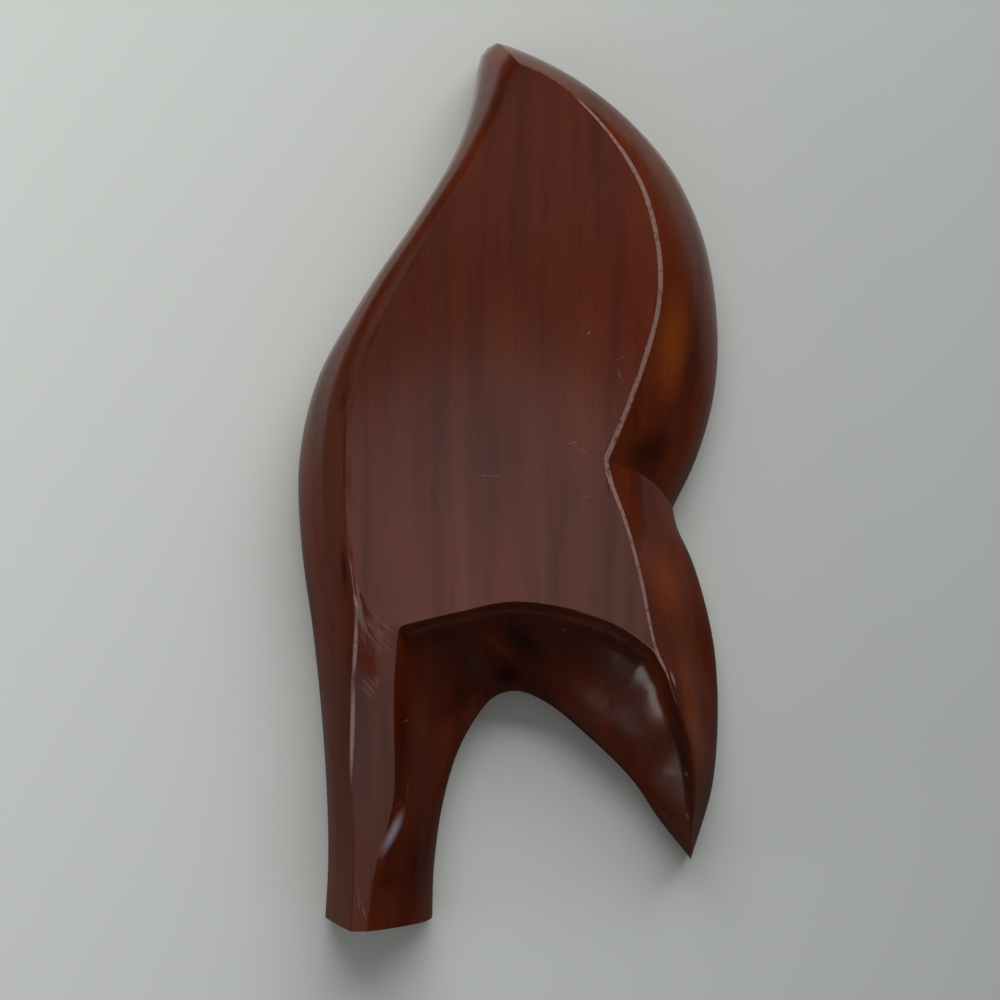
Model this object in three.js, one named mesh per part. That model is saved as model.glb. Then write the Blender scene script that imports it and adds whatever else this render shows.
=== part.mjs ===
// Leaf-shaped serving dish, carved from one block of dark hardwood and lacquered.
//
// The dish stands as it is used: its flat foot lies on Z = 0 and its hollow opens towards +Z.
// +Y runs along the leaf to its tip, and the stem that serves as a handle points towards -Y.
// The outside is one skin of cross-sections. Each section starts on the crest, which is the
// edge of the foot, the top of the stem or the ridge of the pointed lobe, runs down the flank
// to the widest line of the dish and rolls over onto the flat rim. The hollow is a set of
// contour lines, each one offset inwards from the rim.

import * as THREE from "three";
import { mergeVertices } from "three/addons/utils/BufferGeometryUtils.js";

// Overall sizes, in millimetres
const LENGTH = 344.8;
const WIDTH = 166.6;
const HEIGHT = 36;

// Outside: the height of the widest line, the width of the roll from there onto the rim, and how
// far the stem's top and the lobe's ridge lie above the foot at their ends
const BELLY_HEIGHT = 31;
const ROLL_WIDTH = 2.5;
const STEM_RISE = 5.3;
const RIDGE_RISE = 22;

// Length over which the roll fades out at the lobe's point, in widths of the roll
const ROLL_FADE = 5;

// Widths of the cut-off edges that part the foot from the flanks, and of the bevel low on the stem
const ARRIS_WIDTH = 2;
const BEVEL_WIDTH = 4.5;
const RIDGE_WIDTH = 0.8;
const EASED_WIDTH = 0.5;

// Hollow: its rim, its eased lip, how far its wall curves in, the floor and its corners
const RIM_WIDTH = 8;
const LIP_RADIUS = 1.5;
const WALL_CURVE_WIDTH = 30;
const FLOOR_THICKNESS = 8;
const HOLLOW_CORNER = 12;

// Share of the stem's top over which it takes up the foot's rounded corner
const CORNER_FADE = 0.35;

// How firmly a flank's profile keeps to its slopes at its ends and at its shelf
const PROFILE_PULL = 0.36;

// The plan is drawn on a sheet of 166.6 by 344.8 squares and then scaled to the sizes above
const planScale = { x: WIDTH / 166.6, y: LENGTH / 344.8 };

// Outline of the widest line, from the outer corner of the stem's end, up the smooth side,
// round the leaf's tip and down the upper lobe to the notch
const bladeOutline = drawn([
  [72.8, -170], [71.6, -145], [73, -105], [77.1, -60], [82, -22], [82.7, 11.5],
  [75.1, 43.3], [57.2, 74.8], [35.5, 106.7], [21.7, 129.9], [14.5, 150.5], [12.2, 165.6],
  [10, 172], [5.4, 174.8], [-3, 172], [-24.5, 161.6], [-46.4, 145.6], [-65.6, 123.6],
  [-78, 97], [-83.3, 62], [-81.5, 35], [-74.5, 11], [-65.5, -7.6],
]);
const stemRootPlace = 4;
const leafTipPlace = 13;

// From the notch round the lower lobe to its point
const lobeOutline = drawn([
  [-65.5, -7.6], [-67, -15], [-73, -28], [-78, -44], [-82, -63], [-83.4, -88],
  [-81.4, -116], [-77.3, -132], [-72.3, -146.6],
]);
const sillPlace = 5;

// From the lobe's point through the arch to the inner corner of the stem's end
const archOutline = drawn([
  [-72.3, -146.6], [-60, -131.5], [-49, -115.5], [-29, -96], [-15, -85], [-4, -80.5],
  [5, -82.5], [12, -90.2], [20, -105], [26, -126], [29.3, -150], [30, -170],
]);
const archHeelPlace = 3;
const archStemPlace = 7;

// Crest up the stem's ridge and along the soft edge of the foot to the foot's tip
const smoothCrest = drawn([
  [60, -170], [58.8, -138], [60, -105], [59.5, -75], [58, -47], [60, -28], [62, -4],
  [61.8, 18], [59, 36], [48.9, 64], [26, 104], [10.8, 129], [3.2, 144], [-0.6, 155.5], [-4.5, 161.5],
]);
const footShoulderPlace = 5;

// Sharp edge of the foot along the upper lobe, from the foot's tip to its waist at the notch
const upperArris = drawn([
  [-4.5, 161.5], [-15, 156.7], [-26, 148], [-39, 133.5], [-50.3, 114.4], [-56, 93],
  [-56.8, 74], [-53.2, 56.5], [-44.5, 31.5], [-35.8, 10.8],
]);

// Sharp edge of the foot along the lower lobe to its heel, then the ridge to the lobe's point
const lowerArris = drawn([
  [-35.8, 10.8], [-38, 2.5], [-43.6, -12], [-49, -31], [-55.8, -61.5], [-60.8, -71.4],
  [-64.8, -83.9], [-69.5, -96.5], [-71.6, -112], [-71.5, -128], [-71.4, -144],
]);
const heelPlace = 4;

// Arc that ends the foot above the arch, from the heel to the corner over the stem
const footArc = drawn([
  [-55.8, -61.5], [-43.6, -52.8], [-27.3, -46.7], [-1.8, -43], [19, -47], [32, -50], [42, -52.5],
]);

// Inner edge of the stem's flat top, which draws in to a narrow flat at the stem's end
const stemEdge = drawn([
  [42, -52.5], [43.7, -74], [43.7, -94], [43.8, -117], [46.6, -131], [50.6, -144.5], [54.4, -170],
]);

// Rounded corner of the foot where the stem's flat top leaves it
const footCorner = drawn([
  [60, -28], [57.3, -38], [53.5, -47], [48.9, -51.6], [42, -52.5],
]);

// Sill of the hollow: how far it reaches towards the lobe, the arch and the stem
const sill = drawn([
  [-83.4, -88], [-64, -85], [-42, -73], [-16, -62], [10, -59], [36, -61], [58, -60], [75, -46],
  [82, -22],
]);

// Counts of steps along each stretch and across the skin
const steps = {
  smoothSide: 60, upperLobe: 50, lowerLobe: 20, ridge: 20, arch: 26, stem: 24, stemEnd: 5,
  span: 24, flank: 6, rimRoll: 3, outline: 300, hollow: 100, lip: 3, wall: 6,
};

// How a flank runs at one place. It leaves its cut-off edge, `edge` wide, at the angle `leave`
// below level. At the share `over` of its width it has turned to the angle `dip`. From there it
// goes on at the angle `resume`, and meets the widest line at the angle `lean` from upright. A
// steep leave and a small dip make a cove, and a larger resume a soft break. `bow` is how far the
// flank swings aside on its way, as a share of its width.
const flanks = {
  leafTip: { edge: EASED_WIDTH, leave: 32, over: 0.68, dip: 48, resume: 48, lean: 0, bow: 0 },
  upperLobe: { edge: ARRIS_WIDTH, leave: 34, over: 0.68, dip: 44, resume: 44, lean: 0, bow: 0 },
  notch: { edge: ARRIS_WIDTH, leave: 28, over: 0.66, dip: 40, resume: 40, lean: 4, bow: 0.11 },
  lowerLobe: { edge: ARRIS_WIDTH, leave: 34, over: 0.68, dip: 44, resume: 44, lean: 0, bow: 0 },
  heelOutside: { edge: ARRIS_WIDTH, leave: 42, over: 0.64, dip: 47, resume: 47, lean: 0, bow: 0 },
  lobeOutside: { edge: RIDGE_WIDTH, leave: 47, over: 0.6, dip: 56, resume: 56, lean: 0, bow: 0 },
  lobePoint: { edge: EASED_WIDTH, leave: 62, over: 0.5, dip: 60, resume: 60, lean: 0, bow: 0 },
  lobePointInside: { edge: EASED_WIDTH, leave: 68, over: 0.34, dip: 30, resume: 50, lean: 0, bow: 0 },
  lobeInside: { edge: EASED_WIDTH, leave: 70, over: 0.31, dip: 27, resume: 38, lean: 0, bow: 0 },
  heelInside: { edge: EASED_WIDTH, leave: 72, over: 0.26, dip: 21, resume: 21, lean: 0, bow: 0 },
  footArc: { edge: EASED_WIDTH, leave: 80, over: 0.3, dip: 12, resume: 12, lean: 0, bow: 0 },
  stemCorner: { edge: EASED_WIDTH, leave: 72, over: 0.28, dip: 14, resume: 14, lean: 0, bow: 0 },
  stemInside: { edge: EASED_WIDTH, leave: 66, over: 0.32, dip: 22, resume: 22, lean: 0, bow: 0 },
  stemBevel: { edge: BEVEL_WIDTH, leave: 44, over: 0.5, dip: 34, resume: 34, lean: 0, bow: 0 },
  stemEndInside: { edge: RIDGE_WIDTH, leave: 29, over: 0.62, dip: 40, resume: 40, lean: 0, bow: 0 },
  stemEndOutside: { edge: RIDGE_WIDTH, leave: 60, over: 0.5, dip: 64, resume: 64, lean: 20, bow: 0 },
  stemOutside: { edge: RIDGE_WIDTH, leave: 48, over: 0.58, dip: 56, resume: 56, lean: 10, bow: 0 },
  stemRoot: { edge: EASED_WIDTH, leave: 28, over: 0.7, dip: 50, resume: 50, lean: 0, bow: 0 },
  smoothSide: { edge: EASED_WIDTH, leave: 18, over: 0.74, dip: 52, resume: 52, lean: 0, bow: 0 },
};

// Flanks met one after the other, at even steps, down the inside of the stem
const stemFlanks = [
  "stemCorner", "stemInside", "stemInside", "stemInside", "stemBevel", "stemEndInside", "stemEndInside",
];

// A list of places on the plan as points
function drawn(places) {
  return places.map(([x, y]) => new THREE.Vector3(x * planScale.x, y * planScale.y, 0));
}

// Points at even steps along the smooth curve through the places, from one place to another
function trace(places, count, first = 0, last = places.length - 1) {
  const curve = new THREE.CatmullRomCurve3(places, false, "centripetal");
  const fineSteps = Math.round((last - first) * steps.span);
  const fine = [];
  const lengths = [0];
  for (let index = 0; index <= fineSteps; index += 1) {
    const place = first + (last - first) * index / fineSteps;
    fine.push(curve.getPoint(place / (places.length - 1)));
    if (index > 0) {
      lengths.push(lengths[index - 1] + fine[index].distanceTo(fine[index - 1]));
    }
  }
  const points = [];
  let span = 1;
  for (let index = 0; index <= count; index += 1) {
    const wanted = lengths.at(-1) * index / count;
    while (span < fine.length - 1 && lengths[span] < wanted) {
      span += 1;
    }
    const share = (wanted - lengths[span - 1]) / (lengths[span] - lengths[span - 1]);
    points.push(fine[span - 1].clone().lerp(fine[span], share));
  }
  return points;
}

// Lifts a line off the plane of the foot, from nothing at its start to the whole rise at its end
function lift(line, rise, shape) {
  line.forEach((point, index) => point.setZ(rise * shape(index / (line.length - 1))));
  return line;
}

// The stem's top leaves the foot at an angle and levels out, and the lobe's ridge bends away
const levelsOut = (share) => 1 - (1 - share) ** 2;
const bendsAway = (share) => share ** 2;

// Flank between named flanks that are met one after the other at even steps
function blended(names, share) {
  const place = share * (names.length - 1);
  const index = Math.min(Math.floor(place), names.length - 2);
  const ease = THREE.MathUtils.smoothstep(place - index, 0, 1);
  const from = flanks[names[index]];
  const to = flanks[names[index + 1]];
  const mixed = Object.keys(from).map((key) => [key, THREE.MathUtils.lerp(from[key], to[key], ease)]);
  return Object.fromEntries(mixed);
}

// Unit step on a flank's profile, out and down, at an angle below level
function downhill(angle) {
  return new THREE.Vector2(Math.cos(angle), Math.sin(angle));
}

// Part of a flank's profile between two places, turning from one angle below level to another.
// On a narrow flank its pull is cut so that it never swells out past its end.
function profilePart(start, startAngle, end, endAngle) {
  const room = (end.x - start.x) / Math.cos(startAngle);
  const pull = Math.min(start.distanceTo(end) * PROFILE_PULL, room);
  const curve = new THREE.CubicBezierCurve(
    start,
    start.clone().addScaledVector(downhill(startAngle), pull),
    end.clone().addScaledVector(downhill(endAngle), -pull),
    end,
  );
  return curve.getPoints(steps.flank);
}

// One section of the skin, from its crest point over the cut-off edge to the widest line
function section(crest, belly, flank) {
  const across = new THREE.Vector3(belly.x - crest.x, belly.y - crest.y, 0);
  const width = across.length();
  across.normalize();
  const aside = new THREE.Vector3(-across.y, across.x, 0);

  const leave = THREE.MathUtils.degToRad(flank.leave);
  const dip = THREE.MathUtils.degToRad(flank.dip);
  const resume = THREE.MathUtils.degToRad(flank.resume);
  const upright = THREE.MathUtils.degToRad(90 - flank.lean);
  const edge = downhill(leave / 2).multiplyScalar(flank.edge);
  const turnOut = Math.max(width * flank.over, edge.x + flank.edge);
  const turnDown = edge.y + (turnOut - edge.x) * Math.tan((leave + dip) / 2);
  const turn = new THREE.Vector2(turnOut, turnDown);
  const widest = new THREE.Vector2(width, BELLY_HEIGHT - crest.z);
  const profile = [
    ...profilePart(edge, leave, turn, dip),
    ...profilePart(turn, resume, widest, upright).slice(1),
  ];
  return [crest, ...profile.map((place) => {
    const swing = -flank.bow * width * Math.sin(Math.PI * place.x / width);
    const point = crest.clone().addScaledVector(across, place.x).addScaledVector(aside, swing);
    return point.setZ(crest.z + place.y);
  })];
}

// Sections along one stretch of the outline, without the last one, which starts the next stretch
function stretch(crestLine, bellyLine, names) {
  const count = crestLine.length - 1;
  return crestLine.slice(0, count).map((crest, index) => (
    section(crest, bellyLine[index], blended(names, index / count))
  ));
}

// Square-cut end of the stem: the sections on its two sides, joined by straight lines
function stemEndStretch(inside, outside) {
  const sections = [];
  for (let index = 0; index < steps.stemEnd; index += 1) {
    sections.push(inside.map((point, row) => point.clone().lerp(outside[row], index / steps.stemEnd)));
  }
  return sections;
}

// Adds the roll from the widest line onto the flat rim. It fades out at the lobe's sharp point.
function addRimRoll(sections) {
  const belly = sections.map((rows) => rows.at(-1));
  const point = lobeOutline.at(-1);
  const fade = ROLL_WIDTH * ROLL_FADE;
  sections.forEach((rows, index) => {
    const before = belly.at(index - 1);
    const after = belly[(index + 1) % belly.length];
    const inwards = new THREE.Vector3(before.y - after.y, after.x - before.x, 0).normalize();
    const here = belly[index];
    const apart = Math.hypot(here.x - point.x, here.y - point.y);
    const width = ROLL_WIDTH * Math.min(1, apart / fade);
    for (let step = 1; step <= steps.rimRoll; step += 1) {
      const turn = step / steps.rimRoll * Math.PI / 2;
      const roll = here.clone().addScaledVector(inwards, width * (1 - Math.cos(turn)));
      rows.push(roll.setZ(BELLY_HEIGHT + (HEIGHT - BELLY_HEIGHT) * Math.sin(turn)));
    }
  });
}

// Distance from a point to the nearest edge of a closed loop
function distanceToLoop(point, loop) {
  let nearest = Infinity;
  loop.forEach((from, index) => {
    const to = loop[(index + 1) % loop.length];
    const along = to.clone().sub(from);
    const share = THREE.MathUtils.clamp(point.clone().sub(from).dot(along) / along.lengthSq(), 0, 1);
    nearest = Math.min(nearest, from.clone().addScaledVector(along, share).distanceTo(point));
  });
  return nearest;
}

// The same number of points at even steps round a closed loop
function evenLoop(loop, count) {
  const closed = [...loop, loop[0]];
  const lengths = [0];
  for (let index = 1; index < closed.length; index += 1) {
    lengths.push(lengths[index - 1] + closed[index].distanceTo(closed[index - 1]));
  }
  const points = [];
  let span = 1;
  for (let index = 0; index < count; index += 1) {
    const wanted = lengths.at(-1) * index / count;
    while (lengths[span] < wanted) {
      span += 1;
    }
    const share = (wanted - lengths[span - 1]) / (lengths[span] - lengths[span - 1]);
    points.push(closed[span - 1].clone().lerp(closed[span], share));
  }
  return points;
}

// A closed loop, counter-clockwise, moved inwards by a distance, or outwards by a negative one.
// Sharp corners on the side that opens up get an arc, and what comes too near the loop is cut.
function offsetLoop(loop, distance) {
  const arcStep = Math.PI / 18;
  const stillClear = 0.99;
  const kept = [];
  loop.forEach((corner, index) => {
    const before = corner.clone().sub(loop.at(index - 1));
    const after = loop[(index + 1) % loop.length].clone().sub(corner);
    const turn = Math.atan2(before.cross(after), before.dot(after));
    const opens = turn * distance < 0;
    const arcs = opens ? Math.max(1, Math.round(Math.abs(turn) / arcStep)) : 1;
    for (let arc = 0; arc < arcs; arc += 1) {
      const bearing = before.angle() + turn * (arc + 0.5) / arcs + Math.PI / 2;
      const aside = new THREE.Vector2(Math.cos(bearing), Math.sin(bearing)).multiplyScalar(distance);
      const moved = corner.clone().add(aside);
      if (distanceToLoop(moved, loop) > Math.abs(distance) * stillClear) {
        kept.push(moved);
      }
    }
  });
  return kept;
}

// Contour lines of the hollow, from its lip on the flat rim to the edge of its floor
function hollowContours(outline) {
  const reduced = offsetLoop(evenLoop(outline, steps.outline), RIM_WIDTH + HOLLOW_CORNER);
  const rounded = offsetLoop(evenLoop(reduced, steps.outline), -HOLLOW_CORNER);
  const lipLine = evenLoop(rounded, steps.outline);
  const contours = [];
  for (let step = 0; step <= steps.lip; step += 1) {
    const turn = step / steps.lip * Math.PI / 2;
    contours.push([LIP_RADIUS * Math.sin(turn), HEIGHT - LIP_RADIUS * (1 - Math.cos(turn))]);
  }
  const wallTop = HEIGHT - LIP_RADIUS;
  for (let step = 1; step <= steps.wall; step += 1) {
    const turn = step / steps.wall * Math.PI / 2;
    contours.push([
      LIP_RADIUS + WALL_CURVE_WIDTH * (1 - Math.cos(turn)),
      wallTop - (wallTop - FLOOR_THICKNESS) * Math.sin(turn),
    ]);
  }
  return contours.map(([inset, height]) => (
    evenLoop(inset > 0 ? offsetLoop(lipLine, inset) : lipLine, steps.hollow)
      .map((point) => new THREE.Vector3(point.x, point.y, height))
  ));
}

// Closed outline of the hollow before it is offset: the blade above the sill
function hollowOutline(bladeLine, lobeLine) {
  const lines = [bladeLine, lobeLine, trace(sill, steps.arch)];
  return lines.flatMap((line) => line.slice(0, -1)).map((point) => new THREE.Vector2(point.x, point.y));
}

// Triangles of a skin whose rows of points run side by side
function gridFaces(lines, closed) {
  const faces = [];
  const count = closed ? lines.length : lines.length - 1;
  for (let index = 0; index < count; index += 1) {
    const here = lines[index];
    const next = lines[(index + 1) % lines.length];
    for (let row = 0; row < here.length - 1; row += 1) {
      faces.push([here[row], next[row], next[row + 1]], [here[row], next[row + 1], here[row + 1]]);
    }
  }
  return faces;
}

// Triangles between two contour lines, always closed by the shorter of the two next diagonals
function contourFaces(outer, inner) {
  const nearest = inner.reduce((best, point, index) => (
    point.distanceTo(outer[0]) < inner[best].distanceTo(outer[0]) ? index : best
  ), 0);
  const faces = [];
  let outerDone = 0;
  let innerDone = 0;
  while (outerDone < outer.length || innerDone < inner.length) {
    const a = outer[outerDone % outer.length];
    const b = inner[(nearest + innerDone) % inner.length];
    const nextA = outer[(outerDone + 1) % outer.length];
    const nextB = inner[(nearest + innerDone + 1) % inner.length];
    const outerTurn = innerDone === inner.length
      || (outerDone < outer.length && nextA.distanceTo(b) < nextB.distanceTo(a));
    faces.push(outerTurn ? [a, nextA, b] : [a, nextB, b]);
    outerDone += outerTurn ? 1 : 0;
    innerDone += outerTurn ? 0 : 1;
  }
  return faces;
}

// Triangles that fill a counter-clockwise loop, round a hole where there is one, facing up
function fillFaces(loop, hole = []) {
  const clockwiseHole = [...hole].reverse();
  const flat = (points) => points.map((point) => new THREE.Vector2(point.x, point.y));
  const holes = hole.length > 0 ? [flat(clockwiseHole)] : [];
  const points = [...loop, ...clockwiseHole];
  return THREE.ShapeUtils.triangulateShape(flat(loop), holes)
    .map((face) => face.map((index) => points[index]));
}

// Flat top of the stem, from the stem's end to the foot's rounded corner
function stemTopFaces(ridgeLine, edgeLine) {
  const corner = trace(footCorner, steps.stemEnd);
  const rows = ridgeLine.map((ridge, index) => {
    const edge = edgeLine[index];
    const fade = THREE.MathUtils.smoothstep(index / steps.stem, 1 - CORNER_FADE, 1);
    return corner.map((place, column) => {
      const share = column / steps.stemEnd;
      const straight = corner[0].clone().lerp(corner.at(-1), share);
      return ridge.clone().lerp(edge, share).addScaledVector(place.clone().sub(straight), fade);
    });
  });
  return gridFaces(rows[0].map((_, column) => rows.map((row) => row[column])), false);
}

function makeDish() {
  const stemRidge = trace(smoothCrest, steps.stem, 0, footShoulderPlace);
  const ridgeLine = lift(stemRidge.reverse(), STEM_RISE, levelsOut).reverse();
  const smoothLine = trace(smoothCrest, steps.smoothSide, footShoulderPlace);
  const upperLine = trace(upperArris, steps.upperLobe);
  const lowerLine = trace(lowerArris, steps.lowerLobe, 0, heelPlace);
  const lobeRidge = lift(trace(lowerArris, steps.ridge, heelPlace), RIDGE_RISE, bendsAway);
  const arcLine = trace(footArc, steps.arch);
  const edgeLine = lift(trace(stemEdge, steps.stem), STEM_RISE, levelsOut);

  const stemBelly = trace(bladeOutline, steps.stem, 0, stemRootPlace);
  const smoothBelly = trace(bladeOutline, steps.smoothSide, stemRootPlace, leafTipPlace);
  const upperBelly = trace(bladeOutline, steps.upperLobe, leafTipPlace);
  const lobeBelly = trace(lobeOutline, steps.lowerLobe + steps.ridge);
  const pointBelly = trace(archOutline, steps.ridge, 0, archHeelPlace);
  const archBelly = trace(archOutline, steps.arch, archHeelPlace, archStemPlace);
  const insideBelly = trace(archOutline, steps.stem, archStemPlace);

  const endInside = section(edgeLine.at(-1), insideBelly.at(-1), flanks.stemEndInside);
  const endOutside = section(ridgeLine[0], stemBelly[0], flanks.stemEndOutside);
  const sections = [
    ...stretch(upperLine, upperBelly, ["leafTip", "upperLobe", "notch"]),
    ...stretch(lowerLine, lobeBelly.slice(0, steps.lowerLobe + 1), ["notch", "lowerLobe", "heelOutside"]),
    ...stretch(lobeRidge, lobeBelly.slice(steps.lowerLobe), ["heelOutside", "lobeOutside", "lobePoint"]),
    ...stretch([...lobeRidge].reverse(), pointBelly, ["lobePointInside", "lobeInside", "heelInside"]),
    ...stretch(arcLine, archBelly, ["heelInside", "footArc", "stemCorner"]),
    ...stretch(edgeLine, insideBelly, stemFlanks),
    ...stemEndStretch(endInside, endOutside),
    ...stretch(ridgeLine, stemBelly, ["stemEndOutside", "stemOutside", "stemRoot"]),
    ...stretch(smoothLine, smoothBelly, ["stemRoot", "smoothSide", "leafTip"]),
  ];
  addRimRoll(sections);

  const corner = trace(footCorner, steps.stemEnd).reverse();
  const footLoop = [upperLine, lowerLine, arcLine, corner, smoothLine].flatMap((line) => line.slice(0, -1));
  const contours = hollowContours(hollowOutline(
    [...smoothBelly, ...upperBelly.slice(1)],
    trace(lobeOutline, steps.lowerLobe, 0, sillPlace),
  ));
  const faces = [
    ...gridFaces(sections, true),
    ...fillFaces(footLoop).map((face) => face.reverse()),
    ...stemTopFaces(ridgeLine, [...edgeLine].reverse()),
    ...fillFaces(sections.map((rows) => rows.at(-1)), contours[0]),
    ...contours.slice(1).flatMap((contour, index) => contourFaces(contours[index], contour)),
    ...fillFaces(contours.at(-1)),
  ];

  const sameCorner = 1e-4;
  const skin = mergeVertices(new THREE.BufferGeometry().setFromPoints(faces.flat()), sameCorner);

  // The origin is on the plane of the foot, below the middle of the dish's box
  skin.computeBoundingBox();
  const middle = skin.boundingBox.getCenter(new THREE.Vector3());
  skin.translate(-middle.x, -middle.y, 0);
  skin.computeVertexNormals();
  return skin;
}

// Lacquered dark red-brown hardwood
const lacqueredWood = new THREE.MeshStandardMaterial({ color: 0x5b2a1c, roughness: 0.28, metalness: 0 });

const dish = new THREE.Mesh(makeDish(), lacqueredWood);
dish.name = "carved_dish";

const leafDish = new THREE.Group();
leafDish.add(dish);

export default leafDish;
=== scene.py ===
import math

import bmesh
import bpy
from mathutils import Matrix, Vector


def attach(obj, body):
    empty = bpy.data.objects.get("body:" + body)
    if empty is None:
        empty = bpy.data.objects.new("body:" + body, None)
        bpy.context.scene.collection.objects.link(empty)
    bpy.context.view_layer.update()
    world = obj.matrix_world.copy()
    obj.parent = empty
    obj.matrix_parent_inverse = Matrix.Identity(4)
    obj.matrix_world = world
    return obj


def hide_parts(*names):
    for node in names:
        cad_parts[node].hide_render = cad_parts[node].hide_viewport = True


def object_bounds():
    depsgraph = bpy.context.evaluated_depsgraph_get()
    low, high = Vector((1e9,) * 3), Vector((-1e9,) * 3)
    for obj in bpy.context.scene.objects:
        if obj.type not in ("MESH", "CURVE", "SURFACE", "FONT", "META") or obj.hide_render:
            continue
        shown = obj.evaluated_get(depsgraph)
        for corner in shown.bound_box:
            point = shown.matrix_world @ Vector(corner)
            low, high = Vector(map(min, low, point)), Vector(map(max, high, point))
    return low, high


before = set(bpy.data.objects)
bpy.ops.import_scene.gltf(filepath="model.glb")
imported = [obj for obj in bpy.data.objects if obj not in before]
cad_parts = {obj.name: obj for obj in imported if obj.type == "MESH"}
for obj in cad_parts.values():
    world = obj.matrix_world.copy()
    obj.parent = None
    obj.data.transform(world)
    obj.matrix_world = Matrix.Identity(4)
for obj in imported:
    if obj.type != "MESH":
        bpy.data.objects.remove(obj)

CAD_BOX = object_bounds()

MM = 0.001

# Heights on the dish, in millimetres: its rim, its widest line and the floor of its hollow
RIM_HEIGHT = 36
WIDEST_HEIGHT = 31
FLOOR_HEIGHT = 8

# Points closer than this, in millimetres, are one. Two triangles that turn and skew less than
# this, in degrees, join into one face.
WELD_DISTANCE = 0.001
JOIN_TURN = 40
JOIN_SKEW = 60

# Narrow borders, in millimetres, that keep the three flat places flat when their edges are rounded
FOOT_BORDER = 0.7
RIM_BORDER = 0.15
FLOOR_BORDER = 1

# A face counts as flat at a height when its corners lie this near to it, in millimetres, and it
# looks this straight up or down
LEVEL_MARGIN = 0.01
LEVEL_SLOPE = 0.99

# An edge of the skin begins to stay crisp at the first turn, in degrees, and is crisp at the second
SOFT_TURN = 9
CRISP_TURN = 18

# On the roll of the rim, which begins this far under the widest line, only the corners stay
# crisp: edges this steep that turn more than this
ROLL_MARGIN = 0.2
CORNER_SLOPE = 0.6
CORNER_TURN = 20

# The hollow's faces look upwards at least this much
HOLLOW_SLOPE = 0.02

# Below this place along the leaf the hollowed flanks are gouged, so their valleys stay soft
GOUGED_BELOW = -40

# The rounding of the faces, and the turn, in degrees, under which they are shaded as one skin
ROUNDING_STEPS = 2
SMOOTH_TURN = 12

# The camera looks up at the foot from below, square to it, over a field of this width at the rim
CAMERA_DISTANCE = 750
FIELD_WIDTH = 400
CAMERA_OFFSET = (3.29, -6.8)
SENSOR_WIDTH = 36

# Colours of the wood under its lacquer, and of the shade, highlights and reflections painted on it
DARK_WOOD_AND_SHADE = (0.076, 0.0095, 0.0022)
RED_WOOD = (0.116, 0.0165, 0.0035)
BROWN_WOOD = (0.145, 0.0250, 0.0060)
ORANGE_WOOD = (0.265, 0.0520, 0.0055)
BLACK_WOOD_AND_SHADE = (0.010, 0.0016, 0.0006)
DEEP_RED_AND_SHADE = (0.040, 0.0030, 0.0008)
PAINTED_REFLECTION_GREY = (0.050, 0.0240, 0.0150)
PAINTED_REFLECTION_BROWN = (0.100, 0.0360, 0.0200)
PAINTED_DARK_REFLECTION = (0.038, 0.0020, 0.0008)
PAINTED_HIGHLIGHT = (0.340, 0.290, 0.330)
WORN_AND_HIGHLIGHT_WOOD = (0.330, 0.200, 0.175)
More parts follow.
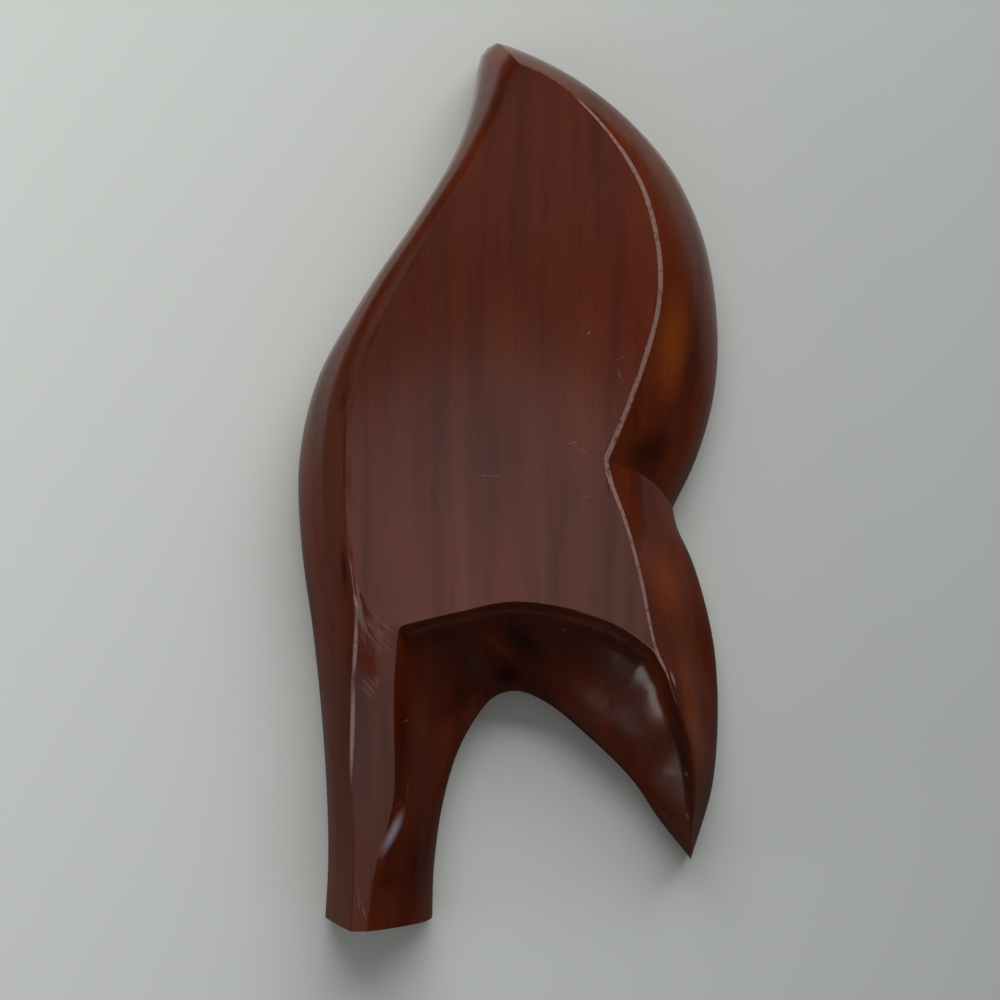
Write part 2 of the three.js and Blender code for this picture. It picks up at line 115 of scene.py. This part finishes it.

# Stained or faded places, and places painted with shade, highlights and reflections: colour, strength,
# middle, radii and turn on the plan
STAINS_AND_PAINTED_LIGHT = [
    (ORANGE_WOOD, 0.9, (-63, 52, 5), (11, 30, 16), 5),
    (ORANGE_WOOD, 0.6, (-63, -39, 6), (11, 29, 16), -18),
    (ORANGE_WOOD, 0.6, (-71, -92, 14), (6, 34, 16), -8),
    (BROWN_WOOD, 0.8, (2, 52, 0), (13, 46, 6), 0),
    (BROWN_WOOD, 0.35, (-26, -30, 0), (9, 34, 6), 4),
    (BROWN_WOOD, 0.35, (-34.5, 109, 0), (12, 1.8, 6), -53),
    # Darker wood over the stem, partly painted shade on the flank that the foot shades
    (DARK_WOOD_AND_SHADE, 0.55, (38, -118, 8), (48, 88, 40), 0),
    # Painted shade in the cove under the arc, and in its right part
    (DEEP_RED_AND_SHADE, 0.8, (0, -68, 14), (60, 24, 22), 0),
    (DARK_WOOD_AND_SHADE, 0.4, (-30, -66, 11), (20, 12, 14), 20),
    # An orange patch in the stem's corner
    (ORANGE_WOOD, 0.25, (32, -65, 9), (9, 12, 12), 0),
    # A black patch in the cove under the arc, and an orange streak across it
    (BLACK_WOOD_AND_SHADE, 0.8, (-6.5, -62, 12), (15, 5, 12), 42),
    (ORANGE_WOOD, 0.2, (3.3, -64, 12), (18, 3.5, 12), 42),
    # Painted reflection: a grey sheen in the stem's corner
    (PAINTED_REFLECTION_GREY, 0.7, (12, -71, 14), (7, 10, 12), -15),
    # A black patch in the cove under the arc
    (BLACK_WOOD_AND_SHADE, 0.85, (0.5, -76, 16), (8, 7, 14), 20),
    # Painted shade on the steep band at the right of the stem's top
    (DEEP_RED_AND_SHADE, 0.75, (40, -97, 8), (8, 42, 12), 0),
    # Darker wood at the stem's end
    (BLACK_WOOD_AND_SHADE, 0.5, (34, -150, 14), (14, 36, 16), 0),
    # Painted shade above the notch's valley and on the steep band beside the pointed lobe's ridge
    (BLACK_WOOD_AND_SHADE, 0.65, (-55, 12, 8), (18, 11, 16), -20),
    (BLACK_WOOD_AND_SHADE, 1.0, (-66, -100, 14), (5, 44, 18), -10),
    # Darker wood on the stem, and a deep red patch at its end
    (BLACK_WOOD_AND_SHADE, 0.3, (58, -92, 8), (15, 42, 14), 0),
    (DEEP_RED_AND_SHADE, 0.6, (46, -153, 8), (8, 8, 12), 0),
    # Painted reflection: a grey sheen on the stem's right flank
    (PAINTED_REFLECTION_GREY, 0.55, (32, -112, 12), (10, 46, 14), 0),
    # A black patch in the stem's corner
    (BLACK_WOOD_AND_SHADE, 0.6, (20, -85, 14), (20, 8, 14), -57),
    # Painted reflection: grey sheen beside the pointed lobe's gleam, on the upper lobe's flank, round
    # the tip and along the left shoulder
    (PAINTED_REFLECTION_BROWN, 0.6, (-55, -109, 12), (7, 32, 14), -29),
    (PAINTED_REFLECTION_BROWN, 0.7, (-60, 112, 12), (12, 44, 20), -20),
    (PAINTED_REFLECTION_GREY, 0.6, (17, 118, 26), (7, 50, 16), 20),
    (PAINTED_REFLECTION_GREY, 0.6, (-27, 151, 26), (34, 7, 16), 36),
    (PAINTED_REFLECTION_BROWN, 0.7, (-27, 148, 14), (38, 9, 16), 36),
    (PAINTED_REFLECTION_BROWN, 0.75, (42, 76, 10), (8, 74, 14), 27),
    # Deep red on the foot near the tip
    (DEEP_RED_AND_SHADE, 0.8, (2, 150, 6), (7, 34, 14), 26),
    # Painted shade on the flanks round the tip, where the light falls on them
    (BLACK_WOOD_AND_SHADE, 0.4, (-28, 152, 14), (44, 10, 24), 36),
    (BLACK_WOOD_AND_SHADE, 0.35, (32, 104, 14), (9, 76, 24), 26),
    # Painted reflection: a grey sheen along the left flank
    (PAINTED_REFLECTION_BROWN, 0.6, (66, 5, 6), (13, 80, 14), 0),
    # Painted highlights: two pale gleams on the bevel at the right of the stem
    (PAINTED_HIGHLIGHT, 0.95, (44.2, -134, 5), (14, 2.7, 8), -63),
    (PAINTED_HIGHLIGHT, 0.4, (38.8, -119, 5), (7, 1.0, 8), -86),
    # Painted reflection: a dark red line along the crease of the left shoulder
    (PAINTED_DARK_REFLECTION, 0.5, (35, 86, 6), (2.0, 24, 16), 30),
    (PAINTED_DARK_REFLECTION, 0.85, (52.3, 54.5, 6), (2.2, 17, 16), 25),
    (PAINTED_DARK_REFLECTION, 0.95, (61.9, 33.4, 6), (2.8, 11, 16), 21),
    (PAINTED_DARK_REFLECTION, 0.9, (62.4, 10, 2), (33, 1.1, 6), 90),
    (PAINTED_DARK_REFLECTION, 0.9, (62.8, -33, 2), (15, 2.0, 6), 88),
]

# Grain, in waves to the metre across the leaf, along it and through it
STREAKS = (85, 5, 85)
CLOUDS = (17, 7, 17)
PORES = (1300, 80, 1300)
FINE_LINES = (900, 14, 900)
CHIPS = (700, 500, 700)
SCUFFS = (170, 2600, 170)
SWELL = (60, 18, 60)
PEEL = (1500, 700, 1500)

# Colours of the streaks, and how far the clouds, the pores and the fine lines dim or lift them, each
# at a place of its noise
STREAK_COLOURS = [(0.30, DARK_WOOD_AND_SHADE), (0.50, RED_WOOD), (0.74, BROWN_WOOD)]
CLOUD_SHADES = [(0.3, 0.74), (0.68, 1.12)]
PORE_SHADES = [(0.30, 0.80), (0.45, 1.0)]
LINE_SHADES = [(0.55, 1.0), (0.75, 1.16)]

# How one thing follows a noise: the noise's two ends, and the strength at each. The clouds mottle the
# stains and the painted shade, highlights and reflections, and the chips break up the worn cut-off
# edge, the other worn edges and the scratches, which are pale partly as painted highlights.
STAIN_AND_PAINTED_LIGHT_MOTTLE = (0.25, 0.55, 0.7, 1)
ARRIS_CHIPS = (0.34, 0.5, 0.25, 1)
EDGE_CHIPS = (0.25, 0.47, 0, 1)
SCRATCH_CHIPS = (0.34, 0.56, 0, 0.55)
SCUFF_LINES = (0.52, 0.66, 0.03, 0.45)

# The cut-off edge along the two lobes, pale with wear and with a painted highlight, in millimetres: the
# heights between which its pale band comes and goes, and the places across the leaf between which it
# ends
ARRIS_STARTS = (0.01, 0.06)
ARRIS_STOPS = (0.50, 0.66)
ARRIS_SIDE = (-30, -24)

# Places where the lacquer is worn through, and pale scratches: middle, half length, half width and
# bearing. The pale edges along the stem's ridge and the lobe's arris, and the scratches on the stem's
# top, are partly painted highlights. All reach this deep into the skin, and this share of each is its
# soft border.
MARK_DEPTH = 6
MARK_SOFTNESS = 0.6
WORN_AND_HIGHLIGHT_EDGES = [
    ((58.2, -45.7, 2), 4, 0.9, 76), ((58.5, -62.5, 2), 15, 1.0, 93), ((59.8, -95, 4), 24, 1.1, 92),
    ((-62.8, -75, 1), 4, 0.6, 70),
]
SCRATCHES_AND_GLINTS = [
    ((-27.5, 12.5, 0), 5.5, 0.22, 35), ((-24, 15, 0), 3.2, 0.2, -20), ((-42.5, 40.5, 0), 3.6, 0.2, 62),
    ((-44, 47, 0), 2.2, 0.22, 48), ((-29, -5.5, 0), 2.6, 0.3, 12), ((-30.6, 56.8, 0), 0.9, 0.7, 0),
    ((8, 2.5, 0), 6, 0.35, 2), ((26, -8, 0), 1.8, 0.2, 80),
    # Scratches on the stem's top, pale partly as a painted highlight
    ((52, -55, 1), 6, 0.35, 48), ((49, -58, 1), 6, 0.3, 38), ((53.5, -58, 1), 5, 0.35, 62),
    ((50, -62, 1), 5.5, 0.3, 55), ((46.5, -55, 1), 4.2, 0.3, 34), ((55, -53, 1), 4.5, 0.35, 74),
    ((47, -62, 1), 4, 0.3, 50), ((52.5, -79, 3), 3.6, 0.3, 60), ((50.5, -76, 3), 2.6, 0.3, 75),
    ((54.5, -77, 3), 3, 0.3, 50), ((39.5, -92, 8), 2, 0.4, -25), ((41.5, -123.5, 5), 1.4, 0.4, 0),
    ((55.8, -164, 5), 4.5, 0.35, 72), ((57.5, -160, 5), 5, 0.3, 86),
    ((-69.6, -69, 6), 0.8, 0.6, 0), ((-70.8, -72, 7), 0.8, 0.6, 40), ((-41.8, -57, 9), 0.7, 0.6, 0),
    ((-21.8, -57, 10), 0.7, 0.6, 0), ((-68.9, -113, 10), 1.4, 0.7, 80),
    ((-69.9, -130, 17), 1.6, 0.6, 85),
]

# Scuffed places, pale partly as a painted highlight on the stem's top: middle, radii and turn on the
# plan. The scuffs all run one way, turned this much.
SCUFFS_AND_HIGHLIGHT_PLACES = [
    ((52.2, -58, 0), (8.5, 12, 6), 24),
    ((52.5, -78, 2), (4.5, 6, 6), 24),
]
SCUFF_TURN = -52
SCUFF_SOFTNESS = 0.7

# Where the lacquer has an orange-peel skin: middle, radii and turn on the plan
PEELED_PLACE = ((-44, -66, 11), (12, 16, 12), 30)

# Bumps in the lacquer: strength, and height in millimetres
SWELL_BUMP = (0.04, 4)
PORE_BUMP = (0.10, 0.2)
PEEL_BUMP = (0.35, 0.4)

# Roughness of the lacquer over dark and over light streaks, and its clear coat
STREAK_ROUGHNESS = [(0.3, 0.27), (0.7, 0.22)]
CLEAR_COAT = {"Coat Weight": 0.35, "Coat Roughness": 0.12, "Coat IOR": 1.5}

# How far the worn wood and its painted highlights cover the colour, and their roughness
WEAR_AND_HIGHLIGHT_COVER = 0.85
WORN_ROUGHNESS = 0.6

# The width of the sheets, in metres, and their gap to the dish, in millimetres
SHEET_WIDTH = 8
SHEET_GAP = 0.3

# Tones of the sheets at the left and at the right of the picture, painted lighter at the left as a fall
# of light
TABLE_TONES = ((0.86, 0.888, 0.845), (0.588, 0.612, 0.583))
FLOOR_TONES = ((0.66, 0.68, 0.65), (0.62, 0.64, 0.61))

# The pale tone of the sheets far from the dish, and where it begins and is full, in millimetres
FAR_PAPER = (0.49, 0.505, 0.485)
FAR_PLACES = (320, 850)

# How bright the table shows in the lacquer: two places along the leaf and across it, with the
# brightness at each, and the brightness in the shade under the arch
MIRRORED_ALONG = ((-60, 160), (0.21, 1.092))
MIRRORED_ACROSS = ((-100, 100), (0.8, 1.15))
MIRRORED_SHADE = 0.15
SHADED_PLACE = ((-15, -125, RIM_HEIGHT), (75, 75, 20), 0)

# The light of the room, and its strength on the matt wood and in the lacquer
ROOM_LIGHT = (0.97, 0.99, 1.0)
ROOM_STRENGTH = 0.18
MIRRORED_STRENGTH = 0.012

# Lamps: name, place, aim, size and power, whether they light the wood, the lacquer or both, and
# their shape
LAMPS = [
    ("window", (-300, 1850, -1150), (0, 0, 20), (3000, 1000), 49, "wood", "RECTANGLE"),
    ("left_fill", (1460, -150, -310), (0, 0, 20), (700, 500), 3.6, "wood", "RECTANGLE"),
    ("ceiling", (60, 120, 900), (0, 0, 0), (700, 700), 6.5, "both", "RECTANGLE"),
    ("ceiling_glow", (10, -70, -720), (10, -70, 0), (340, 340), 0.18, "lacquer", "DISK"),
]

# Gleams in the lacquer: name, aim, bearing, angle off the camera's axis, distance, size and
# brightness
GLEAMS = [
    ("upper_glow", (0, 90, 0), 90, 17, 800, (620, 260), 0.2),
    ("wall_glow", (60, 40, 0), 150, 42, 900, (600, 700), 0.2),
    ("lobe_gleam", (-57, -90, 12), 212, 58, 800, (150, 440), 2.2),
    ("lobe_sheen", (-45, -68, 12), 238, 44, 800, (130, 200), 0.4),
    ("stem_gleam", (51, -100, 3), 236, 17, 800, (170, 170), 0.6),
    ("stem_edge_gleam", (59.5, -80, 3), 194, 46, 800, (260, 260), 1.4),
]


def metres(values):
    return [value * MM for value in values]


def deselect_all():
    bpy.ops.object.select_all(action="DESELECT")


def make_active(piece):
    deselect_all()
    piece.select_set(True)
    bpy.context.view_layer.objects.active = piece


def start_dish():
    """A welded copy of the solid, its triangles joined into four-sided faces"""
    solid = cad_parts["carved_dish"]
    dish = bpy.data.objects.new("leaf_dish", solid.data.copy())
    bpy.context.scene.collection.objects.link(dish)
    make_active(dish)
    bpy.ops.object.mode_set(mode="EDIT")
    bpy.ops.mesh.select_all(action="SELECT")
    bpy.ops.mesh.customdata_custom_splitnormals_clear()
    bpy.ops.mesh.remove_doubles(threshold=WELD_DISTANCE * MM)
    bpy.ops.mesh.tris_convert_to_quads(
        face_threshold=math.radians(JOIN_TURN), shape_threshold=math.radians(JOIN_SKEW))
    bpy.ops.object.mode_set(mode="OBJECT")
    return dish


def inset_flat(dish, height, up, border):
    """Gives the flat place at one height a narrow border. It looks up at 1 and down at -1."""
    make_active(dish)
    corners = dish.data.vertices
    for face in dish.data.polygons:
        level = all(abs(corners[i].co.z - height * MM) < LEVEL_MARGIN * MM for i in face.vertices)
        face.select = level and face.normal.z * up > LEVEL_SLOPE
    bpy.ops.object.mode_set(mode="EDIT")
    bpy.ops.mesh.select_mode(type="FACE")
    bpy.ops.mesh.inset(thickness=border * MM, use_even_offset=True)
    bpy.ops.object.mode_set(mode="OBJECT")


def crease_edges(dish):
    """Keeps an edge crisp by how sharply its two faces turn. The rolled rim, the hollow and the
    gouged valleys stay soft."""
    form = bmesh.new()
    form.from_mesh(dish.data)
    crease = form.edges.layers.float.new("crease_edge")
    for edge in form.edges:
        start, end = (corner.co for corner in edge.verts)
        turn = math.degrees(edge.calc_face_angle(0))
        rolled = min(start.z, end.z) > (WIDEST_HEIGHT - ROLL_MARGIN) * MM
        upright = abs(end.z - start.z) > CORNER_SLOPE * (end - start).length
        if rolled and not (upright and turn > CORNER_TURN):
            continue
        hollowed = not rolled and all(face.normal.z > HOLLOW_SLOPE for face in edge.link_faces)
        gouged = (start.y + end.y) / 2 < GOUGED_BELOW * MM and not edge.is_convex
        if hollowed or gouged:
            continue
        edge[crease] = min(max((turn - SOFT_TURN) / (CRISP_TURN - SOFT_TURN), 0), 1)
    form.to_mesh(dish.data)
    form.free()


def carve_dish():
    dish = start_dish()
    inset_flat(dish, 0, -1, FOOT_BORDER)
    inset_flat(dish, RIM_HEIGHT, 1, RIM_BORDER)
    inset_flat(dish, FLOOR_HEIGHT, 1, FLOOR_BORDER)
    crease_edges(dish)
    make_active(dish)
    rounding = dish.modifiers.new("rounding", "SUBSURF")
    rounding.levels = rounding.render_levels = ROUNDING_STEPS
    bpy.ops.object.modifier_apply(modifier=rounding.name)
    # The rounding may swell past the box of the solid by a hair
    lows, highs = CAD_BOX
    for corner in dish.data.vertices:
        corner.co = [min(max(value, low), high) for value, low, high in zip(corner.co, lows, highs)]
    bpy.ops.object.shade_smooth_by_angle(angle=math.radians(SMOOTH_TURN))
    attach(dish, "root")
    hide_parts("carved_dish")
    return dish


class Finish:
    """The nodes of a material or of the room, and short ways of adding to them"""

    def __init__(self, owner):
        owner.use_nodes = True
        self.nodes = owner.node_tree.nodes
        self.links = owner.node_tree.links
        self.nodes.clear()

    def node(self, kind, inputs=None, **settings):
        made = self.nodes.new(kind)
        for key, value in settings.items():
            setattr(made, key, value)
        for key, value in (inputs or {}).items():
            if isinstance(value, bpy.types.NodeSocket):
                self.links.new(value, made.inputs[key])
            else:
                made.inputs[key].default_value = value
        return made

    def combine(self, operation, *values):
        """Two or more values put together in turn, such as by MULTIPLY or MAXIMUM"""
        total = values[0]
        for value in values[1:]:
            total = self.node("ShaderNodeMath", {0: total, 1: value}, operation=operation).outputs[0]
        return total

    def between(self, value, low, high, start=0.0, end=1.0):
        """Eases from one number to another while a value goes from low to high"""
        made = self.node("ShaderNodeMapRange", {
            "Value": value, "From Min": low, "From Max": high, "To Min": start, "To Max": end,
        }, interpolation_type="SMOOTHSTEP")
        return made.outputs["Result"]

    def ramp(self, factor, stops):
        """A colour ramp through (place, colour) stops, where one number stands for a grey"""
        made = self.node("ShaderNodeValToRGB", {"Fac": factor})
        elements = made.color_ramp.elements
        while len(elements) < len(stops):
            elements.new(0.5)
        for element, (place, colour) in zip(elements, stops):
            element.position = place
            element.color = (*colour, 1) if isinstance(colour, tuple) else (colour, colour, colour, 1)
        return made.outputs["Color"]

    def mix(self, share, under, over, blend="MIX"):
        made = self.node("ShaderNodeMix", {0: share}, data_type="RGBA", blend_type=blend)
        for socket, value in ((6, under), (7, over)):
            if isinstance(value, bpy.types.NodeSocket):
                self.links.new(value, made.inputs[socket])
            else:
                made.inputs[socket].default_value = (*value, 1)
        return made.outputs[2]

    def grain(self, places, waves, detail=3, roughness=0.55, distortion=0.0):
        """Noise drawn out along the leaf"""
        stretched = self.node("ShaderNodeMapping", {"Vector": places, "Scale": waves})
        return self.node("ShaderNodeTexNoise", {
            "Vector": stretched.outputs["Vector"], "Scale": 1.0, "Detail": detail,
            "Roughness": roughness, "Distortion": distortion,
        }).outputs["Fac"]

    def bump(self, heights, strength, height, skin=None):
        """The skin's normal, tilted by a noise, over the bumps that it has already"""
        inputs = {"Height": heights, "Strength": strength, "Distance": height * MM}
        if skin is not None:
            inputs["Normal"] = skin
        return self.node("ShaderNodeBump", inputs).outputs["Normal"]

    def patch(self, places, middle, radii, bearing, soft=1.0):
        """One inside an ellipsoid turned on the plan, fading to nothing at its skin"""
        local = self.node("ShaderNodeMapping", {
            "Vector": places,
            "Location": metres(middle),
            "Rotation": (0, 0, math.radians(bearing)),
            "Scale": metres(radii),
        }, vector_type="TEXTURE")
        away = self.node("ShaderNodeVectorMath", {0: local.outputs["Vector"]}, operation="LENGTH")
        return self.between(away.outputs["Value"], 1 - soft, 1, 1, 0)

    def patches(self, places, listed, soft):
        masks = [self.patch(places, middle, radii, bearing, soft) for middle, radii, bearing in listed]
        return self.combine("MAXIMUM", *masks)


def grained_colour(finish, places, streaks, pores):
    """Streaks and clouds along the leaf, stained in places and painted with shade, highlights and
    reflections in others, with darker pores and lighter lines
    """
    clouds = finish.grain(places, CLOUDS, detail=2)
    fine_lines = finish.grain(places, FINE_LINES, detail=2)
    colour = finish.ramp(streaks, STREAK_COLOURS)
    colour = finish.mix(1.0, colour, finish.ramp(clouds, CLOUD_SHADES), "MULTIPLY")
    mottle = finish.between(clouds, *STAIN_AND_PAINTED_LIGHT_MOTTLE)
    for tone, strength, middle, radii, bearing in STAINS_AND_PAINTED_LIGHT:
        stain_and_painted_light = finish.patch(places, middle, radii, bearing)
        colour = finish.mix(finish.combine("MULTIPLY", stain_and_painted_light, strength, mottle), colour, tone)
    colour = finish.mix(1.0, colour, finish.ramp(pores, PORE_SHADES), "MULTIPLY")
    return finish.mix(1.0, colour, finish.ramp(fine_lines, LINE_SHADES), "MULTIPLY")


def wear_and_highlight_places(finish, places):
    """One where the lacquer is worn off, and where that paleness also paints highlights: along the
    cut-off edge, in strokes and in scuffs
    """
    plan = finish.node("ShaderNodeSeparateXYZ", {"Vector": places}).outputs
    chips = finish.grain(places, CHIPS, detail=3, roughness=0.7)
    wear_and_highlight = finish.combine(
        "MULTIPLY",
        finish.between(plan["Z"], *metres(ARRIS_STARTS)),
        finish.between(plan["Z"], *metres(ARRIS_STOPS), 1, 0),
        finish.between(plan["X"], *metres(ARRIS_SIDE), 1, 0),
        finish.between(chips, *ARRIS_CHIPS))
    for marks, chipping in ((WORN_AND_HIGHLIGHT_EDGES, EDGE_CHIPS), (SCRATCHES_AND_GLINTS, SCRATCH_CHIPS)):
        ovals = [(middle, (length, width, MARK_DEPTH), bearing)
                 for middle, length, width, bearing in marks]
        strokes = finish.patches(places, ovals, MARK_SOFTNESS)
        broken = finish.combine("MULTIPLY", strokes, finish.between(chips, *chipping))
        wear_and_highlight = finish.combine("MAXIMUM", wear_and_highlight, broken)
    turned = finish.node("ShaderNodeMapping", {
        "Vector": places, "Rotation": (0, 0, math.radians(SCUFF_TURN)),
    })
    scuffs = finish.grain(turned.outputs["Vector"], SCUFFS, detail=1)
    scuffs_and_highlight = finish.patches(places, SCUFFS_AND_HIGHLIGHT_PLACES, SCUFF_SOFTNESS)
    scuffs_and_highlight = finish.combine("MULTIPLY", scuffs_and_highlight, finish.between(scuffs, *SCUFF_LINES))
    return finish.combine("MAXIMUM", wear_and_highlight, scuffs_and_highlight)


def uneven_skin(finish, places, pores):
    """The lacquer's slow swell, the pores under it and its orange-peel skin in one place"""
    skin = finish.bump(finish.grain(places, SWELL, detail=1), *SWELL_BUMP)
    skin = finish.bump(pores, *PORE_BUMP, skin)
    peel = finish.grain(places, PEEL, detail=1)
    peeled = finish.combine("MULTIPLY", peel, finish.patch(places, *PEELED_PLACE))
    return finish.bump(peeled, *PEEL_BUMP, skin)


def lacquered_wood():
    material = bpy.data.materials.new("lacquered_wood")
    finish = Finish(material)
    places = finish.node("ShaderNodeTexCoord").outputs["Object"]
    streaks = finish.grain(places, STREAKS, detail=4, distortion=0.5)
    pores = finish.grain(places, PORES, detail=2)
    colour = grained_colour(finish, places, streaks, pores)
    wear_and_highlight = wear_and_highlight_places(finish, places)
    colour = finish.mix(finish.combine("MULTIPLY", wear_and_highlight, WEAR_AND_HIGHLIGHT_COVER), colour, WORN_AND_HIGHLIGHT_WOOD)
    roughness = finish.ramp(streaks, STREAK_ROUGHNESS)
    roughness = finish.mix(wear_and_highlight, roughness, (WORN_ROUGHNESS,) * 3)
    shader = finish.node("ShaderNodeBsdfPrincipled", {
        "Base Color": colour, "Roughness": roughness,
        "Normal": uneven_skin(finish, places, pores), **CLEAR_COAT,
    })
    finish.node("ShaderNodeOutputMaterial", {"Surface": shader.outputs["BSDF"]})
    return material


def sheet_paper(name, tones):
    """A matt paper that only shows on the front of a sheet, graded across the picture: painted light,
    lighter at the left
    """
    material = bpy.data.materials.new(name)
    finish = Finish(material)
    places = finish.node("ShaderNodeTexCoord").outputs["Object"]
    plan = finish.node("ShaderNodeSeparateXYZ", {"Vector": places}).outputs
    rays = finish.node("ShaderNodeLightPath").outputs["Is Glossy Ray"]
    # The camera sees +X at the left of the picture
    rightwards = finish.combine("MULTIPLY", plan["X"], -1 / (FIELD_WIDTH * MM))
    graded = finish.ramp(finish.combine("ADD", rightwards, 0.5), [(0, tones[0]), (1, tones[1])])
    (stem_end, tip_end), brightness_along = MIRRORED_ALONG
    (lobe_side, smooth_side), brightness_across = MIRRORED_ACROSS
    mirrored = finish.combine(
        "MULTIPLY",
        finish.between(plan["Y"], *metres((stem_end, tip_end)), *brightness_along),
        finish.between(finish.patch(places, *SHADED_PLACE), 0, 1, 1, MIRRORED_SHADE),
        finish.between(plan["X"], *metres((lobe_side, smooth_side)), *brightness_across))
    paper = finish.mix(rays, graded, finish.mix(1.0, graded, mirrored, "MULTIPLY"))
    matt = finish.node("ShaderNodeBsdfDiffuse", {"Color": paper})
    # Far from the dish the sheet keeps its pale tone instead of falling into the dark
    pale = finish.node("ShaderNodeEmission", {"Color": (*FAR_PAPER, 1), "Strength": 1.0})
    away = finish.node("ShaderNodeVectorMath", {0: places}, operation="LENGTH").outputs["Value"]
    seen = finish.combine("SUBTRACT", 1.0, rays)
    far = finish.combine("MULTIPLY", finish.between(away, *metres(FAR_PLACES)), seen)
    lit = finish.node("ShaderNodeMixShader", {
        0: far, 1: matt.outputs["BSDF"], 2: pale.outputs["Emission"],
    })
    clear = finish.node("ShaderNodeBsdfTransparent")
    back = finish.node("ShaderNodeNewGeometry").outputs["Backfacing"]
    shown = finish.node("ShaderNodeMixShader", {
        0: back, 1: lit.outputs["Shader"], 2: clear.outputs["BSDF"],
    })
    finish.node("ShaderNodeOutputMaterial", {"Surface": shown.outputs["Shader"]})
    return material


def lay_sheet(name, paper, height, facing_down, in_reflections):
    deselect_all()
    turn = (math.pi, 0, 0) if facing_down else (0, 0, 0)
    bpy.ops.mesh.primitive_plane_add(size=SHEET_WIDTH, location=(0, 0, height * MM), rotation=turn)
    sheet = bpy.context.object
    sheet.name = name
    bpy.ops.object.transform_apply(location=True, rotation=True, scale=True)
    sheet.data.materials.append(paper)
    sheet.visible_shadow = False
    sheet.visible_diffuse = False
    sheet.visible_transmission = False
    sheet.visible_volume_scatter = False
    sheet.visible_glossy = in_reflections


def lay_sheets():
    """The table above the rim, as the dish lies on it upside down, and a floor under the foot"""
    table_paper = sheet_paper("table_paper", TABLE_TONES)
    lay_sheet("table", table_paper, RIM_HEIGHT + SHEET_GAP, facing_down=True, in_reflections=True)
    floor_paper = sheet_paper("floor_paper", FLOOR_TONES)
    lay_sheet("floor", floor_paper, -SHEET_GAP, facing_down=False, in_reflections=False)


def fill_room():
    """A faint light from all round, almost dark in the lacquer and pale paper to the camera"""
    world = bpy.data.worlds.new("pale_room")
    bpy.context.scene.world = world
    room = Finish(world)

    def background(tone, strength):
        return room.node("ShaderNodeBackground", {"Color": (*tone, 1), "Strength": strength}).outputs[0]

    lighting = background(ROOM_LIGHT, ROOM_STRENGTH)
    backdrop = background(FAR_PAPER, 1.0)
    mirrored = background(ROOM_LIGHT, MIRRORED_STRENGTH)
    rays = room.node("ShaderNodeLightPath").outputs
    lit = room.node("ShaderNodeMixShader", {0: rays["Is Glossy Ray"], 1: lighting, 2: mirrored})
    seen = room.node("ShaderNodeMixShader", {
        0: rays["Is Camera Ray"], 1: lit.outputs["Shader"], 2: backdrop,
    })
    room.node("ShaderNodeOutputWorld", {"Surface": seen.outputs["Shader"]})


def hang_lamp(name, place, aim, size, power, lights, shape):
    """A soft lamp that lights the matt wood, that only gleams in the lacquer, or both"""
    deselect_all()
    bpy.ops.object.light_add(type="AREA", location=metres(place))
    lamp = bpy.context.object
    lamp.name = name
    lamp.data.shape = shape
    lamp.data.size, lamp.data.size_y = metres(size)
    lamp.data.energy = power
    lamp.visible_camera = False
    lamp.visible_glossy = lights != "wood"
    lamp.visible_diffuse = lights != "lacquer"
    direction = Vector(aim) - Vector(place)
    lamp.rotation_euler = direction.to_track_quat("-Z", "Y").to_euler()


def gleam(name, aim, bearing, off_axis, distance, size, brightness):
    """A lamp seen only in the lacquer. From its aim it lies at a bearing in the picture, counted
    from the right, and at an angle from the camera's axis."""
    turn, away = math.radians(bearing), math.radians(off_axis)
    towards = (-math.sin(away) * math.cos(turn), math.sin(away) * math.sin(turn), -math.cos(away))
    place = [start + distance * step for start, step in zip(aim, towards)]
    power = brightness * math.pi * (math.pi / 4) * size[0] * size[1] * MM * MM
    hang_lamp(name, place, aim, size, power, "lacquer", "ELLIPSE")


def hang_lamps():
    for settings in LAMPS:
        hang_lamp(*settings)
    for settings in GLEAMS:
        gleam(*settings)


def set_camera():
    deselect_all()
    place = (*CAMERA_OFFSET, RIM_HEIGHT - CAMERA_DISTANCE)
    bpy.ops.object.camera_add(location=metres(place), rotation=(0, math.pi, 0))
    camera = bpy.context.object
    camera.data.sensor_width = SENSOR_WIDTH
    camera.data.lens = SENSOR_WIDTH * CAMERA_DISTANCE / FIELD_WIDTH
    camera.data.clip_start = 0.01
    camera.data.clip_end = 20
    bpy.context.scene.camera = camera


set_camera()
dish = carve_dish()
dish.data.materials.clear()
dish.data.materials.append(lacquered_wood())
lay_sheets()
fill_room()
hang_lamps()

bpy.context.scene.view_settings.view_transform = "Standard"
